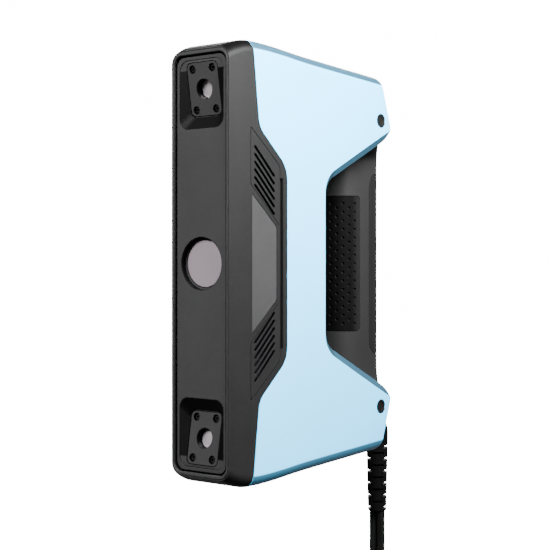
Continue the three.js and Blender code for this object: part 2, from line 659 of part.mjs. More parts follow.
function coilRing(low) {
  const { inner, outer, tall } = COIL;
  const cut = 2.2;
  const profile = [
    [inner + cut, low], [outer - cut, low], [outer, low + cut], [outer, low + tall - cut],
    [outer - cut, low + tall], [inner + cut, low + tall], [inner, low + tall - cut], [inner, low + cut],
    [inner + cut, low],
  ].map(([r, z]) => new THREE.Vector2(r, z));
  return new THREE.LatheGeometry(profile, 36).rotateX(Math.PI / 2).translate(COIL.x, COIL.y, 0);
}

/** The strap round both coils, opposite the side where the cables come in. */
function cableTie() {
  const halfWide = 5;
  const nearest = Math.sqrt(COIL.inner ** 2 - halfWide ** 2);
  const middle = COIL.x + (nearest + COIL.outer) / 2;
  const centreZ = COIL.lowest + COIL.tall + GAP / 2;
  const halfX = (COIL.outer - nearest) / 2 + GAP;
  const halfZ = COIL.tall + GAP;
  const loop = (grow) => roundedRectangle(halfX + grow, halfZ + grow, 2 + grow, centreZ);
  const strap = frontPrism(loop(1.2), -halfWide, halfWide).subtract(frontPrism(loop(0), -9, 9));
  return strap.translate([middle, COIL.y, 0]);
}

function usbPlug() {
  const body = box(15.6, 34, 7.6, [0, -17, 0]).add(barY(3.6, -6, 0));
  const shell = box(12, 12.6, 4.5, [0, -40, 0]).subtract(box(11, 12, 2, [0, -42, 0.8]));
  return body.add(shell).translate([-6, -69 - GAP, FLOOR + 4]);
}

function powerPlug() {
  const body = barY(5.2, -30, -6).add(barY(4.4, -7, 0));
  return body.add(barY(2.75, -40, -29).subtract(barY(1.2, -41, -31, [0, 0], 16)))
    .translate([33, -98 - GAP, FLOOR + 5.3]);
}

// ---- The scene --------------------------------------------------------------------

const FINISH = {
  black: { color: 0x1d1e20, roughness: 0.5, metalness: 0 },
  panel: { color: 0x222325, roughness: 0.55, metalness: 0 },
  blue: { color: 0xb9dcf2, roughness: 0.35, metalness: 0.6 },
  rubber: { color: 0x151617, roughness: 0.8, metalness: 0 },
  grey: { color: 0x3a3b3e, roughness: 0.5, metalness: 0 },
  glass: { color: 0x9a9096, roughness: 0.08, metalness: 0 },
  metal: { color: 0xa9adb1, roughness: 0.35, metalness: 1 },
  board: { color: 0x1d5a35, roughness: 0.5, metalness: 0 },
  light: { color: 0x6fc0e8, roughness: 0.3, metalness: 0 },
};

const scanner = new THREE.Group();
const body = new THREE.Group();
body.position.y = -GRIP_DEPTH;
scanner.add(body);

function place(group, name, part, finish) {
  const geometry = part.isBufferGeometry ? part : geometryOf(part);
  const mesh = new THREE.Mesh(geometry, new THREE.MeshStandardMaterial(FINISH[finish]));
  mesh.name = name;
  group.add(mesh);
}

const leftOf = (part) => part.mirror([1, 0, 0]);

place(body, 'front_bezel', frontBezel(), 'black');
place(body, 'front_panel', frontPanel(), 'panel');
place(body, 'front_housing', frontHousing(), 'black');
const glassFront = PROJECTOR.glassDepth;
const projectorGlass = barY(PROJECTOR.glass, glassFront, glassFront + PROJECTOR.glassThick, [0, 0], 40);
place(body, 'projector_window', projectorGlass, 'glass');

for (const [side, turn] of [['upper', (part) => part], ['lower', flipped]]) {
  place(body, `${side}_camera_plate`, turn(cameraPlate()), 'panel');
  place(body, `${side}_camera_window`, turn(cameraWindow()), 'glass');
  place(body, `${side}_camera_lens`, turn(cameraLens()), 'metal');
  place(body, `${side}_camera_body`, turn(cameraBody()), 'metal');
  screwPlaces().forEach((spot, k) => {
    place(body, `${side}_plate_screw_${k + 1}`, turn(plateScrew(spot)), 'black');
  });
  for (const [hand, mirror] of [['right', (part) => part], ['left', leftOf]]) {
    place(body, `${hand}_${side}_grille`, mirror(turn(ventGrille())), 'black');
    place(body, `${hand}_${side}_cover_cap`, mirror(turn(coverCap())), 'grey');
  }
}
for (const [hand, mirror] of [['right', (part) => part], ['left', leftOf]]) {
  place(body, `${hand}_cover`, mirror(coverPlate()), 'blue');
  place(body, `${hand}_label_plate`, mirror(labelPlate()), 'grey');
}

place(body, 'rear_housing', rearHousing(), 'black');
place(body, 'handle_frame', handleFrame().add(handleSpine()), 'black');
place(body, 'grip_pad', gripPad(), 'rubber');
place(body, 'rear_handle_cover', rearCover(), 'black');
BUTTONS.forEach((spec) => place(body, spec.name, button(spec), 'grey'));
place(body, 'status_light', statusLight(), 'light');
place(body, 'button_board', buttonBoard(), 'board');

place(body, 'optical_frame', opticalFrame(), 'metal');
place(body, 'projector_lens', projectorLens(), 'metal');
place(body, 'projector_body', projectorBody(), 'black');
place(body, 'heat_sink', heatSink(), 'metal');
place(body, 'fan_frame', fanFrame(), 'black');
place(body, 'fan_rotor', fanRotor(), 'black');
place(body, 'main_board', mainBoard(), 'board');

place(body, 'cable_gland', cableGland(), 'black');
place(body, 'cable_boot', cableBoot(), 'rubber');
place(scanner, 'usb_cable', cableTube(USB_DROP), 'rubber');
place(scanner, 'power_cable', cableTube(POWER_DROP), 'rubber');
place(scanner, 'usb_cable_coil', coilRing(COIL.lowest), 'rubber');
place(scanner, 'power_cable_coil', coilRing(COIL.lowest + COIL.tall + GAP), 'rubber');
place(scanner, 'usb_cable_tail', cableTube(USB_TAIL), 'rubber');
place(scanner, 'power_cable_tail', cableTube(POWER_TAIL), 'rubber');
place(scanner, 'usb_plug', usbPlug(), 'metal');
place(scanner, 'power_plug', powerPlug(), 'metal');
place(scanner, 'cable_tie', cableTie(), 'rubber');

export default scanner;
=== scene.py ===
"""The looks of a handheld structured-light 3-D scanner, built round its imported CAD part.

Everything is drawn in millimetres by depth behind the front rim, x to the scanner's side and
height, and moved to the row frame in metres when a piece is finished.
"""

import json
import math

import bmesh
import bpy
from mathutils import Matrix, Vector

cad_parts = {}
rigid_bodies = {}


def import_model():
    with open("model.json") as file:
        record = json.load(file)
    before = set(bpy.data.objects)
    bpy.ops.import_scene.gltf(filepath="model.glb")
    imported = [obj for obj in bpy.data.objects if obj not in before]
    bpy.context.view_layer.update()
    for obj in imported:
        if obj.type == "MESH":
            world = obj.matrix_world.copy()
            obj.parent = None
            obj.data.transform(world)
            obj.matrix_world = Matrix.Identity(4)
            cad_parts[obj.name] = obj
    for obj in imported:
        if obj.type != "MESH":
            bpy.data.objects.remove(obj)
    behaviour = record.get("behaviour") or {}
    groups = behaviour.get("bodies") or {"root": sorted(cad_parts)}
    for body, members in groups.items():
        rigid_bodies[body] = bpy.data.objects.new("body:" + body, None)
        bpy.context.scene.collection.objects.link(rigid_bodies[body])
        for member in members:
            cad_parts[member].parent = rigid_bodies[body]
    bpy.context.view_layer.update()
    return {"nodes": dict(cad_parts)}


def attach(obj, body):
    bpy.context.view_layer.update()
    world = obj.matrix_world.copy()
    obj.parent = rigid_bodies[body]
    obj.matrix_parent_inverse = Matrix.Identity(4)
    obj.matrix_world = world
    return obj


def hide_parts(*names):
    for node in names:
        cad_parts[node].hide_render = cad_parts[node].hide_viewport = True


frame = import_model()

MM = 0.001
GRIP_DEPTH = 144
BODY = "scanner"
GAP = 0.3

HALF_WIDTH = [[0, 21.4], [17, 25.5], [37, 28.5], [43, 29.3], [78, 31.5], [146, 34.7], [172, 35.6]]
HALF_HEIGHT = [[0, 121.2], [6, 124], [17, 126.7], [60, 123.1], [135, 118.2], [172, 115.7]]
EDGE_RADIUS = 7.5
SPINE_HALF = 3.1
COVER_FRONT = [[15.5, 135, 0], [21.35, 77.1, 5], [43.35, 55, 8]]
COVER_REAR = [[133.7, 119.6, 7], [147.1, 80.7, 9]]
WAIST = {"depth": 82.6, "corner": 49.03, "cut": 8, "rise": 0.4907, "far": 172}
BEVEL = {"wide": 4.6, "deep": 3.1}
LIP = {"deep": 6, "wide": 3.4}
CHASSIS_REAR = 117.7
CAMERA = {"z": 99, "depth": 4.25, "tilt": math.radians(9.2)}
CAMERA_PLATE = {"half_x": 11.4, "half_z": 15.2, "radius": 3.4}
MOUTH = {"half_x": 16.3, "low": 76.6, "high": 115.5, "radius": 6}
SCREWS = [(-7.3, 11.6), (7.3, 11.6), (-7.3, -11.6), (7.3, -11.6)]
GRILLE = {"front": 15.4, "rear": 37.5, "top": (76.5, 55.6), "bottom": (44.9, 21.7)}
VENT_PITCH = 4.35
BEZEL_INSET = 0.9
BEZEL_HOLE = {"half_x": 19.6, "half_z": 118.6, "radius": 5.5}
PANEL = {"half_x": 18.4, "half_z": 117.8, "radius": 5.3}
TUB = {"half_x": 17.5, "half_z": 20.9, "radius": 4, "z": 95.4}
HOUSING_FRONT = 0.35
COVER_GAP = 0.35
CAP = {"depth": 134.5, "z": 90.3, "radius": 4.17}
HANDLE = [
    [0, 17.5, 122, 166, 2.6, 2.6], [58, 17.5, 122, 166, 2.6, 2.6], [66, 17.6, 121.9, 166, 2.6, 2.6],
    [74, 18.4, 121.4, 166.1, 3, 2.6], [81, 21.2, 120.2, 165.8, 4.5, 2.6], [87, 26, 118.8, 163.6, 8, 2.7],
    [93, 29.3, 118.1, 159.6, 12, 2.8], [100, 30.4, 118, 155.5, 12, 2.8], [114.2, 29.4, 118, 145, 12, 2.8],
]
DIMPLES = {"middle": 143, "apart": 4.05, "rise": 5.47, "phase": 1}
BUTTONS = {"plus_button": (21, 4.8), "scan_button": (0, 7.0), "minus_button": (-21, 4.8)}
STATUS_LIGHT_Z = 37
BOOT = {"z": -107, "start": 152.3, "depth": 182, "bend": 8, "radius": 7.4, "tip": 6.2, "end": -167.6}
BOOT_TURN = math.radians(38)
BOOT_SLOTS = {"top": -115.3, "pitch": 8.24}
FLOOR = -253.6
CABLE_D = 5.5
COIL = {"x": 33.9, "y": -12}

# ---- Camera ------------------------------------------------------------------

camera_data = bpy.data.cameras.new("camera")
camera_data.lens = 82.1
camera_data.sensor_width = 36
camera_data.shift_y = -0.0207
camera = bpy.data.objects.new("camera", camera_data)
camera.location = (0.4696, -0.6756, 0)
camera.rotation_euler = Vector((-0.6157, 0.788, 0)).to_track_quat("-Z", "Y").to_euler()
bpy.context.scene.collection.objects.link(camera)
bpy.context.scene.camera = camera

# ---- Materials ---------------------------------------------------------------


def graph(name):
    """A new node material: its node maker, its links and its Principled shader."""
    material = bpy.data.materials.new(name)
    material.use_nodes = True
    tree = material.node_tree
    shader = next(node for node in tree.nodes if node.type == "BSDF_PRINCIPLED")

    def node(kind, **values):
        made = tree.nodes.new(kind)
        for key, value in values.items():
            if key.startswith("_"):
                setattr(made, key[1:], value)
            else:
                made.inputs[key.replace("_", " ")].default_value = value
        return made

    return material, node, tree.links.new, shader


def moulded(name, colour, rough, metallic=0.0, grain=1400, relief=0.05, vary=0.12, spread=0.06,
            specular=0.5, coat=0.0, edge=0.35, painted_shade=None, shade_rows=()):
    """A fine-grained surface: colour, roughness and relief vary with two noises, and edges are rounded.

    Faces whose normal passes a shade row (axis, start, end, share) take that share of the painted shade colour: painted
    shade, darker where a face is turned from the light.
    """
    material, node, link, shader = graph(name)
    place = node("ShaderNodeTexCoord").outputs["Object"]
    fine = node("ShaderNodeTexNoise", Scale=grain, Detail=3.0, Roughness=0.6)
    broad = node("ShaderNodeTexNoise", Scale=38.0, Detail=4.0, Roughness=0.55)
    link(place, fine.inputs["Vector"])
    link(place, broad.inputs["Vector"])
    blend = node("ShaderNodeMath", _operation="MULTIPLY_ADD")
    link(fine.outputs["Fac"], blend.inputs[0])
    blend.inputs[1].default_value = 0.6
    half = node("ShaderNodeMath", _operation="MULTIPLY")
    link(broad.outputs["Fac"], half.inputs[0])
    half.inputs[1].default_value = 0.4
    link(half.outputs[0], blend.inputs[2])
    ramp = node("ShaderNodeValToRGB")
    link(blend.outputs[0], ramp.inputs["Fac"])
    ramp.color_ramp.elements[0].position = 0.3
    ramp.color_ramp.elements[1].position = 0.7
    ramp.color_ramp.elements[0].color = [c * (1 - vary) for c in colour] + [1]
    ramp.color_ramp.elements[1].color = [min(1, c * (1 + vary)) for c in colour] + [1]
    paint = ramp.outputs["Color"]
    # Painted shade: a darker colour mixed in by which way the surface normal points.
    if painted_shade:
        normal = node("ShaderNodeSeparateXYZ")
        link(node("ShaderNodeTexCoord").outputs["Normal"], normal.inputs[0])
        share = None
        for axis, start, end, shade_share in shade_rows:
            turn = node("ShaderNodeMapRange", _interpolation_type="SMOOTHSTEP", From_Min=start, From_Max=end,
                        To_Max=shade_share)
            link(normal.outputs[axis], turn.inputs["Value"])
            if share is None:
                share = turn.outputs["Result"]
            else:
                most = node("ShaderNodeMath", _operation="MAXIMUM")
                link(share, most.inputs[0])
                link(turn.outputs["Result"], most.inputs[1])
                share = most.outputs[0]
        blend_in = node("ShaderNodeMix", _data_type="RGBA")
        link(share, blend_in.inputs[0])
        link(paint, blend_in.inputs[6])
        blend_in.inputs[7].default_value = (*painted_shade, 1)
        paint = blend_in.outputs[2]
    link(paint, shader.inputs["Base Color"])
    roughness = node("ShaderNodeMapRange", From_Min=0.3, From_Max=0.7,
                     To_Min=rough - spread, To_Max=rough + spread)
    link(blend.outputs[0], roughness.inputs["Value"])
    link(roughness.outputs["Result"], shader.inputs["Roughness"])
    rounding = node("ShaderNodeBevel", _samples=4, Radius=edge * MM)
    bump = node("ShaderNodeBump", Strength=relief, Distance=0.0004)
    link(fine.outputs["Fac"], bump.inputs["Height"])
    link(rounding.outputs["Normal"], bump.inputs["Normal"])
    link(bump.outputs["Normal"], shader.inputs["Normal"])
    shader.inputs["Metallic"].default_value = metallic
    shader.inputs["Specular IOR Level"].default_value = specular
    shader.inputs["Coat Weight"].default_value = coat
    shader.inputs["Coat Roughness"].default_value = 0.12
    return material


def coated_glass(name, tint, rim, rough):
    """Optical glass with an interference coating: its tint turns towards rim at grazing angles."""
    material, node, link, shader = graph(name)
    facing = node("ShaderNodeLayerWeight", Blend=0.35)
    place = node("ShaderNodeTexCoord").outputs["Object"]
    haze = node("ShaderNodeTexNoise", Scale=120.0, Detail=2.0)
    link(place, haze.inputs["Vector"])
    ramp = node("ShaderNodeValToRGB")
    ramp.color_ramp.elements[0].color = list(tint) + [1]
    ramp.color_ramp.elements[1].color = list(rim) + [1]
    link(facing.outputs["Facing"], ramp.inputs["Fac"])
    link(ramp.outputs["Color"], shader.inputs["Base Color"])
    roughness = node("ShaderNodeMapRange", To_Min=rough * 0.8, To_Max=rough * 1.2)
    link(haze.outputs["Fac"], roughness.inputs["Value"])
    link(roughness.outputs["Result"], shader.inputs["Roughness"])
    shader.inputs["Metallic"].default_value = 0.75
    shader.inputs["Coat Weight"].default_value = 0.6
    shader.inputs["Coat Roughness"].default_value = 0.03
    return material


LOOK = {
    # Painted shade: faces turned up or down take the near-black colour, which darkens the top and bottom roundings.
    "black": moulded("black_plastic", (0.0082, 0.0082, 0.0084), 0.5, relief=0.06, specular=0.05,
                     painted_shade=(0.0006, 0.0006, 0.0006),
                     shade_rows=[("Z", 0.22, 0.5, 1.0), ("Z", -0.35, -0.8, 1.0)]),
    "bezel": moulded("bezel_plastic", (0.012, 0.012, 0.0122), 0.5, relief=0.06, specular=0.05),
    # Painted shade: downward-facing faces take the near-black colour, as shade under the covers.
    "handle": moulded("handle_plastic", (0.012, 0.012, 0.0122), 0.5, relief=0.06, specular=0.05,
                      painted_shade=(0.0008, 0.0008, 0.0008), shade_rows=[("Z", -0.01, -0.12, 1.0)]),
    # Painted shade: every face that doesn't face straight ahead, such as the recess and bore walls, takes the
    # near-black colour.
    "panel": moulded("panel_plastic", (0.0117, 0.0117, 0.0119), 0.52, relief=0.08, specular=0.04,
                     painted_shade=(0.0005, 0.0005, 0.0005), shade_rows=[("Y", -0.975, -0.93, 1.0)]),
    "recess": moulded("recess_plastic", (0.007, 0.007, 0.0071), 0.55, relief=0.06, specular=0.05),
    # Painted shade: faces turned forwards or backwards, which are the slot walls, take the near-black colour.
    "vent": moulded("vent_plastic", (0.0085, 0.0085, 0.0087), 0.5, relief=0.06, specular=0.05,
                    painted_shade=(0.0005, 0.0005, 0.0005),
                    shade_rows=[("Y", 0.3, 0.4, 1.0), ("Y", -0.3, -0.4, 1.0)]),
    "grey": moulded("grey_plastic", (0.0225, 0.0225, 0.0229), 0.5, relief=0.07, specular=0.08),
    "cap": moulded("cap_plastic", (0.0055, 0.0055, 0.0056), 0.6, relief=0.07, specular=0.03),
    # Painted shade: the top and bottom roundings and the waist bevel take a dark blue colour, as if turned from the
    # light.
    "blue": moulded("blue_metal", (0.085, 0.56, 1.0), 0.42, grain=2600, relief=0.05,
                    vary=0.05, spread=0.05, specular=0.2, coat=0.04, painted_shade=(0.011, 0.03, 0.045),
                    shade_rows=[("Z", 0.2, 0.34, 0.97), ("Z", -0.05, -0.16, 0.88), ("Y", 0.16, 0.22, 1.0)]),
    # Painted shade: forward-facing faces of the grip pad take the near-black colour.
    "pad": moulded("grip_rubber", (0.0075, 0.0075, 0.0076), 0.65, grain=900, relief=0.1, specular=0.03,
                   painted_shade=(0.0011, 0.0011, 0.0011), shade_rows=[("Y", -0.12, -0.5, 1.0)]),
    "rubber": moulded("rubber", (0.0024, 0.0024, 0.0024), 0.65, grain=900, relief=0.1, specular=0.02),
    "cable": moulded("cable_sheath", (0.0035, 0.0035, 0.0035), 0.5, grain=700, relief=0.04, specular=0.06),
    "steel": moulded("black_steel", (0.002, 0.002, 0.002), 0.5, relief=0.05, specular=0.04),
    "anodised": moulded("anodised_metal", (0.09, 0.09, 0.1), 0.35, metallic=0.85, relief=0.05),
    "aluminium": moulded("bare_aluminium", (0.62, 0.63, 0.64), 0.34, metallic=1.0, relief=0.08),
    "board": moulded("circuit_board", (0.02, 0.13, 0.05), 0.42, grain=500, vary=0.3, coat=0.4),
    "light": moulded("light_plastic", (0.25, 0.6, 0.85), 0.25, relief=0.02, coat=0.5),
    "tie": moulded("tie_fabric", (0.02, 0.02, 0.021), 0.85, grain=2200, relief=0.35, vary=0.35),
    "plug": moulded("plug_metal", (0.72, 0.73, 0.75), 0.25, metallic=1.0, relief=0.03),
    "glass": coated_glass("projector_glass", (0.2, 0.195, 0.2), (0.5, 0.3, 0.4), 0.2),
    "lens": coated_glass("camera_glass", (0.3, 0.28, 0.295), (0.5, 0.4, 0.45), 0.2),
}

# ---- Drawing -------------------------------------------------------------------


def smooth(rows, column=1):
    """The table's column as a smooth function that doesn't overshoot its rows."""
    xs, ys = [row[0] for row in rows], [row[column] for row in rows]
    steps = [b - a for a, b in zip(xs, xs[1:])]
    slopes = [(b - a) / h for a, b, h in zip(ys, ys[1:], steps)]
    tangents = [slopes[0]]
    for i in range(1, len(slopes)):
        before, after = 2 * steps[i] + steps[i - 1], steps[i] + 2 * steps[i - 1]
        flat = slopes[i - 1] * slopes[i] <= 0
        tangents.append(0 if flat else (before + after) / (before / slopes[i - 1] + after / slopes[i]))
    tangents.append(slopes[-1])

    def at(x):
        x = min(max(x, xs[0]), xs[-1])
        i = max(k for k in range(len(steps)) if xs[k] <= x)
        h, t = steps[i], (x - xs[i]) / steps[i]
        return (ys[i] * (1 + 2 * t) * (1 - t) ** 2 + ys[i + 1] * t * t * (3 - 2 * t)
                + h * t * (1 - t) ** 2 * tangents[i] + h * t * t * (t - 1) * tangents[i + 1])

    return at


width_at, height_at = smooth(HALF_WIDTH), smooth(HALF_HEIGHT)


def outline(corners, steps=10):
    """Points through corners (a, b, cut), each corner rounded over its cut."""
    points = []
    for i, (a, b, cut) in enumerate(corners):
        corner = Vector((a, b))
        if not cut:
            points.append((a, b))
            continue
        before, after = (Vector(corners[k][:2]) for k in (i - 1, (i + 1) % len(corners)))
        start = corner + (before - corner).normalized() * cut
        end = corner + (after - corner).normalized() * cut
        for k in range(steps + 1):
            t = k / steps
            points.append(tuple(start * (1 - t) ** 2 + corner * 2 * t * (1 - t) + end * t * t))
    return points


def mirrored(corners):
    return list(corners) + [(a, -b, cut) for a, b, cut in reversed(corners)]


def rounded(half_x, half_z, radius, centre=0.0, steps=9):
    points = []
    for k, (x, z) in enumerate([(1, -1), (1, 1), (-1, 1), (-1, -1)]):
        for step in range(steps + 1):
            angle = math.pi / 2 * (k - 1 + step / steps)
            points.append((x * (half_x - radius) + radius * math.cos(angle),
                           centre + z * (half_z - radius) + radius * math.sin(angle)))
    return points


def circle(radius, x=0.0, z=0.0, sides=64):
    angles = (2 * math.pi * k / sides for k in range(sides))
    return [(x + radius * math.cos(a), z + radius * math.sin(a)) for a in angles]


# ---- Solids --------------------------------------------------------------------


def solid(points, faces):
    mesh = bpy.data.meshes.new("solid")
    mesh.from_pydata(points, [], faces)
    work = bmesh.new()
    work.from_mesh(mesh)
    bmesh.ops.remove_doubles(work, verts=work.verts, dist=1e-5)
    bmesh.ops.recalc_face_normals(work, faces=work.faces)
    work.to_mesh(mesh)
    work.free()
    made = bpy.data.objects.new("solid", mesh)
    bpy.context.scene.collection.objects.link(made)
    return made


def loft(rings):
    """A closed solid through rings of equally many points."""
    n = len(rings[0])
    faces = [list(range(n)), [len(rings) * n - 1 - k for k in range(n)]]
    for r in range(len(rings) - 1):
        for k in range(n):
            nxt = (k + 1) % n
            faces.append([r * n + k, r * n + nxt, (r + 1) * n + nxt, (r + 1) * n + k])
    return solid([point for ring in rings for point in ring], faces)


def side_prism(points, x0=-60, x1=60):
    return loft([[(x, a, b) for a, b in points] for x in (x0, x1)])


def front_prism(points, y0, y1):
    return loft([[(a, y, b) for a, b in points] for y in (y0, y1)])


def stack_y(profile, x=0.0, z=0.0, sides=64):
    """A round solid along the depth through (depth, radius) rows."""
    return loft([[(a, y, b) for a, b in circle(radius, x, z, sides)] for y, radius in profile])


def block(x, y, z, centre, radius=0.0):
    """A box, with its four long edges along the depth rounded by radius."""
    cx, cy, cz = centre
    square = [(x / 2, -z / 2), (x / 2, z / 2), (-x / 2, z / 2), (-x / 2, -z / 2)]
    points = rounded(x / 2, z / 2, radius, 0, 4) if radius else square
    return front_prism([(cx + a, cz + b) for a, b in points], cy - y / 2, cy + y / 2)


def bool_apply(base, tools, operation):
    for tool in tools:
        step = base.modifiers.new("step", "BOOLEAN")
        step.solver, step.operation, step.object = "MANIFOLD", operation, tool
    shape = bpy.data.meshes.new_from_object(base.evaluated_get(bpy.context.evaluated_depsgraph_get()))
    base.modifiers.clear()
    base.data = shape
    for tool in tools:
        bpy.data.objects.remove(tool)
    return base


def cut(base, *tools):
    return bool_apply(base, tools, "DIFFERENCE")


def union(base, *others):
    return bool_apply(base, others, "UNION")


def common(base, *others):
    return bool_apply(base, others, "INTERSECT")


def copy_of(item, mirror=None):
    """A copy, mirrored through x (0) or height (2) if asked."""
    made = bpy.data.objects.new("copy", item.data.copy())
    bpy.context.scene.collection.objects.link(made)
    if mirror is not None:
        made.data.transform(Matrix.Scale(-1, 4, [Vector((1, 0, 0)), None, Vector((0, 0, 1))][mirror]))
        made.data.flip_normals()
    return made


def both(item, mirror):
    return item, copy_of(item, mirror)


TO_ROW_FRAME = Matrix.Scale(MM, 4) @ Matrix.Translation((0, -GRIP_DEPTH, 0))


def finish_piece(item, name, nodes, look, body=BODY, sharp=30, transform=TO_ROW_FRAME):
    """Names the solid, moves it to the row frame, and has it stand for its CAD nodes."""
    item.name = item.data.name = name
    item.data.transform(transform)
    item.data.shade_smooth()
    item.data.set_sharp_from_angle(angle=math.radians(sharp))
    item.data.materials.clear()
    item.data.materials.append(LOOK[look])
    normals = item.modifiers.new("normals", "WEIGHTED_NORMAL")
    normals.keep_sharp = True
    if nodes:
        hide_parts(*nodes)
    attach(item, body)
    return item


# ---- The body's form -------------------------------------------------------------

FINE = [0, 1, 2, 4, 6, 8.5, 11, 14, 17, 20, 24, 28, 32, 36, 40, 45, 50, 56, 62, 70, 78, 88, 98,
        110, 122, 134, 146, 158, 172]
WITHIN = [-5] + FINE[1:-1] + [180]


def envelope(inset, depths=FINE):
    rings = []
    for depth in depths:
        ring = rounded(width_at(depth) - inset, height_at(depth) - inset, max(EDGE_RADIUS - inset, 1))
        rings.append([(x, depth, z) for x, z in ring])
    return loft(rings)


def waist(grow):
    rise = WAIST["rise"]
    steepening = math.hypot(1, rise) - rise
    corner, rounding = WAIST["corner"] + grow * steepening, WAIST["cut"] + grow * steepening
    far = corner + rise * (WAIST["far"] - WAIST["depth"] + grow)
    near = WAIST["depth"] - grow
    rear = [(WAIST["far"], far, 0), (WAIST["far"], -far, 0)]
    return outline([*rear, (near, -corner, rounding), (near, corner, rounding)], 12)


def cover_front(shift):
    edge = [(depth + shift, height, rounding) for depth, height, rounding in COVER_FRONT]
    return outline([(-20, 135, 0)] + mirrored(edge) + [(-20, -135, 0)], 12)


def waist_bevel():
    """What the bevel takes off the right-hand cover: from its face inwards round the hand gap."""
    wide, deep = BEVEL["wide"], BEVEL["deep"]
    rings = []
    for inwards in (deep, deep * 0.5, -1):
        ring = waist(wide * (1 - inwards / deep))
        rings.append([(width_at(depth) - inwards, depth, z) for depth, z in ring])
    return loft(rings)


def cylinder_x(radius, x0, x1, depth, z, sides=64):
    return loft([[(x, a, b) for a, b in circle(radius, depth, z, sides)] for x in (x0, x1)])


def cover():
    front = [(depth + COVER_GAP, height, rounding) for depth, height, rounding in COVER_FRONT]
    corners = [(WAIST["depth"], WAIST["corner"], WAIST["cut"]), *reversed(COVER_REAR),
               (front[0][0] + 0.65, 130, 0), front[1], front[2]]
    plate = cut(envelope(0), envelope(2, WITHIN))
    lip = common(cut(envelope(0), envelope(LIP["deep"], WITHIN)), side_prism(waist(LIP["wide"]), 12, 60))
    plate = common(union(plate, lip), side_prism(outline(mirrored(corners), 12), SPINE_HALF + GAP, 60))
    hole = cylinder_x(CAP["radius"] + GAP, 20, 60, CAP["depth"], CAP["z"])
    return cut(plate, waist_bevel(), *both(hole, 2))


def cover_cap():
    """A round plug, dished a little in the middle."""
    cap = common(cylinder_x(CAP["radius"], 20, 60, CAP["depth"], CAP["z"]), envelope(0.25))
    cap = cut(cap, envelope(1.8))
    x = width_at(CAP["depth"])
    dish = loft([[(x + rise, a, b) for a, b in circle(radius, CAP["depth"], CAP["z"], 48)]
                 for rise, radius in ((-0.75, 2.6), (-0.2, 3.3), (2, 5.5))])
    return cut(cap, dish)


# ---- The front -------------------------------------------------------------------


def inset_outline(size, inset, steps=9):
    return rounded(size["half_x"] - inset, size["half_z"] - inset, size["radius"] - inset, steps=steps)


def front_plate(size, rows, steps=9):
    """A rounded plate through (depth, inset) rows."""
    return loft([[(x, depth, z) for x, z in inset_outline(size, inset, steps)] for depth, inset in rows])


def front_bezel():
    rings = []
    for k in range(7):
        turn = math.pi / 2 * k / 6
        depth, inset = 0.3 * (1 - math.cos(turn)), BEZEL_INSET - 0.1 + 0.3 * (1 - math.sin(turn))
        rings.append([(x, depth, z) for x, z in rounded(
            width_at(depth) - inset, height_at(depth) - inset, EDGE_RADIUS - inset, steps=12)])
    rings.append([(x, 1.2, z) for x, z in rounded(
        width_at(1.2) - BEZEL_INSET, height_at(1.2) - BEZEL_INSET, EDGE_RADIUS - BEZEL_INSET, steps=12)])
    hole = front_plate(BEZEL_HOLE, [(-0.01, -0.55), (0.12, -0.25), (0.35, -0.06), (0.7, 0), (2, 0)], 12)
    return cut(loft(rings), hole)


def tilted(item):
    """Moves a solid made round the depth axis to the upper camera's tilted axis."""
    place = Matrix.Translation((0, CAMERA["depth"], CAMERA["z"]))
    item.data.transform(place @ Matrix.Rotation(CAMERA["tilt"], 4, "X"))
    return item


def camera_recess():
    """From the mouth in the panel down to the tilted plate: walls with a soft rim, which the panel's look paints
    near-black as painted shade.
    """
    floor_x, floor_z = CAMERA_PLATE["half_x"] + GAP, CAMERA_PLATE["half_z"] + GAP
    wide, low, high = MOUTH["half_x"], MOUTH["low"], MOUTH["high"]
    middle, half = (low + high) / 2, (high - low) / 2
    mouth = rounded(wide, half, MOUTH["radius"], steps=10)
    rims = [[(x * grow, depth, middle + z * grow) for x, z in mouth]
            for grow, depth in ((1.035, 1.49), (1.012, 1.65), (1, 2.0))]
    floor = []
    for x, z in mouth:
        height = CAMERA["z"] + z * floor_z / half
        depth = CAMERA["depth"] + math.tan(CAMERA["tilt"]) * (CAMERA["z"] - height)
        floor.append((x * floor_x / wide, depth, height))
    pocket = tilted(front_prism(rounded(floor_x, floor_z, CAMERA_PLATE["radius"]), -0.6, 3.5))
    return union(loft([*rims, floor]), pocket, tilted(stack_y([(3, 8.5), (30, 8.5)])))


def front_panel():
    edge = [(1.5, 0.5), (1.62, 0.2), (1.9, 0.0), (4.3, 0.0)]
    plate = front_plate(PANEL, edge, 12)
    tub = front_prism(rounded(TUB["half_x"], TUB["half_z"], TUB["radius"], TUB["z"]), 3.8, 12.5)
    boss = stack_y([(3.8, 17.2), (8.6, 17.2)])
    ring = stack_y([(1.4, 15.5), (1.62, 15.1), (1.95, 14.8), (5, 14.8)], sides=96)
    seat = stack_y([(4.9, 13.7), (6.9, 13.7)], sides=96)
    bore = stack_y([(4, 12.2), (10, 12.2)], sides=96)
    plate = union(plate, *both(tub, 2), boss)
    return cut(plate, ring, seat, bore, *both(camera_recess(), 2))


def camera_plate():
    edge = [(0, 0.4), (0.12, 0.12), (0.4, 0), (3.2, 0)]
    plate = union(front_plate(CAMERA_PLATE, edge), stack_y([(3, 7.4), (5.4, 7.4)]))
    holes = [stack_y([(-1, 6.9), (0.15, 5.75), (0.3, 5.7), (6, 5.7)])]
    for x, z in SCREWS:
        holes.append(stack_y([(-0.5, 2.9), (0, 2.45), (0.3, 2.15), (5, 2.15)], x, z, 40))
    return tilted(cut(plate, *holes))


